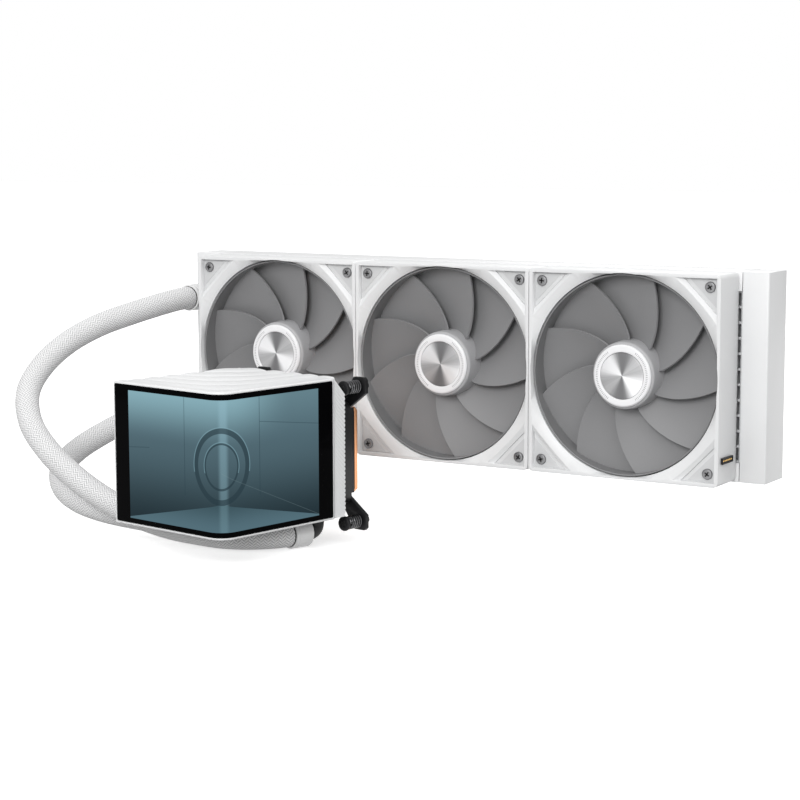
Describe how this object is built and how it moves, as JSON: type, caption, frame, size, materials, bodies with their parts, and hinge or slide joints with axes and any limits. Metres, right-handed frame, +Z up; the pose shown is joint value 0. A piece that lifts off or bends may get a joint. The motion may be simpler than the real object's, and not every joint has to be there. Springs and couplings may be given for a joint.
{
  "type": "liquid cooling radiator",
  "caption": "Closed-loop liquid cooler: finned radiator with a row of fans, braided hoses and a pump block with a wrap-around display.",
  "frame": {"origin": "rear face of the radiator's upper rail, midway along it, where the radiator meets a case panel", "axes": "+Z up, +X along the radiator away from the hoses, -Y the way the fans face"},
  "size_m": [0.4213, 0.2389, 0.156],
  "materials": {
    "white_paint": "fine powder coat",
    "white_plastic": "satin moulded",
    "fan_grey": "satin moulded, pale grey",
    "hub_metal": "spun, conical sheen",
    "dark_steel": "dark plated",
    "black_plastic": "fine spark texture",
    "black_steel": "black coat",
    "copper": "brushed copper",
    "braid": "woven sleeve",
    "display_glass": "gloss cover glass with a black border",
    "display_picture": "lit panel",
    "circuit_board": "solder mask",
    "rubber": "moulded",
    "coil_copper": "enamelled winding"
  },
  "bodies": {
    "cooler": {"radiator_core": "white_paint", "upper_rail": "white_paint", "lower_rail": "white_paint", "port_tank": "white_paint", "far_tank": "white_paint", "upper_hose": "braid", "lower_hose": "braid", "upper_port_ferrule": "white_plastic", "lower_port_ferrule": "white_plastic", "upper_port_fitting": "black_plastic", "lower_port_fitting": "black_plastic", "fan_link_socket": "black_plastic", "display_glass": "display_glass", "display_panel": "display_picture", "display_shell": "white_plastic", "rear_cover": "white_plastic", "controller_board": "circuit_board", "pump_housing": "black_plastic", "pump_stator": "coil_copper", "seal_ring": "rubber", "cold_plate": "copper", "mounting_bracket": "black_steel", "near_pump_ferrule": "white_plastic", "far_pump_ferrule": "white_plastic", "near_elbow": "black_plastic", "far_elbow": "black_plastic", "fan_1_frame": "white_plastic", "fan_1_stator": "coil_copper", "fan_1_screw_1": "dark_steel", "fan_1_screw_2": "dark_steel", "fan_1_screw_3": "dark_steel", "fan_1_screw_4": "dark_steel", "fan_2_frame": "white_plastic", "fan_2_stator": "coil_copper", "fan_2_screw_1": "dark_steel", "fan_2_screw_2": "dark_steel", "fan_2_screw_3": "dark_steel", "fan_2_screw_4": "dark_steel", "fan_3_frame": "white_plastic", "fan_3_stator": "coil_copper", "fan_3_screw_1": "dark_steel", "fan_3_screw_2": "dark_steel", "fan_3_screw_3": "dark_steel", "fan_3_screw_4": "dark_steel", "spring_1": "dark_steel", "spring_2": "dark_steel", "spring_3": "dark_steel", "spring_4": "dark_steel"},
    "fan_1_impeller": {"fan_1_rotor": "fan_grey", "fan_1_hub_cap": "hub_metal"},
    "fan_2_impeller": {"fan_2_rotor": "fan_grey", "fan_2_hub_cap": "hub_metal"},
    "fan_3_impeller": {"fan_3_rotor": "fan_grey", "fan_3_hub_cap": "hub_metal"},
    "clamp_screw_1": {"spring_screw_1": "black_steel"},
    "clamp_screw_2": {"spring_screw_2": "black_steel"},
    "clamp_screw_3": {"spring_screw_3": "black_steel"},
    "clamp_screw_4": {"spring_screw_4": "black_steel"},
    "pump_wheel": {"pump_impeller": "white_plastic"}
  },
  "joints": [
    {"name": "fan_1_spin", "type": "hinge", "parent": "cooler", "child": "fan_1_impeller", "pos_m": [-0.12, -0.0405, -0.0545], "axis": [0, -1, 0], "continuous": true},
    {"name": "fan_2_spin", "type": "hinge", "parent": "cooler", "child": "fan_2_impeller", "pos_m": [0, -0.0405, -0.0545], "axis": [0, -1, 0], "continuous": true},
    {"name": "fan_3_spin", "type": "hinge", "parent": "cooler", "child": "fan_3_impeller", "pos_m": [0.12, -0.0405, -0.0545], "axis": [0, -1, 0], "continuous": true},
    {"name": "pump_spin", "type": "hinge", "parent": "cooler", "child": "pump_wheel", "pos_m": [-0.04832, -0.12442, -0.0994], "axis": [0.1822, 0.9833, 0], "continuous": true},
    {"name": "clamp_screw_1_press", "type": "slide", "parent": "cooler", "child": "clamp_screw_1", "axis": [0.1822, 0.9833, 0], "range_m": [0, 0.004], "stiffness_N_per_m": 1500, "deforming": ["spring_1"]},
    {"name": "clamp_screw_2_press", "type": "slide", "parent": "cooler", "child": "clamp_screw_2", "axis": [0.1822, 0.9833, 0], "range_m": [0, 0.004], "stiffness_N_per_m": 1500, "deforming": ["spring_2"]},
    {"name": "clamp_screw_3_press", "type": "slide", "parent": "cooler", "child": "clamp_screw_3", "axis": [0.1822, 0.9833, 0], "range_m": [0, 0.004], "stiffness_N_per_m": 1500, "deforming": ["spring_3"]},
    {"name": "clamp_screw_4_press", "type": "slide", "parent": "cooler", "child": "clamp_screw_4", "axis": [0.1822, 0.9833, 0], "range_m": [0, 0.004], "stiffness_N_per_m": 1500, "deforming": ["spring_4"]}
  ]
}
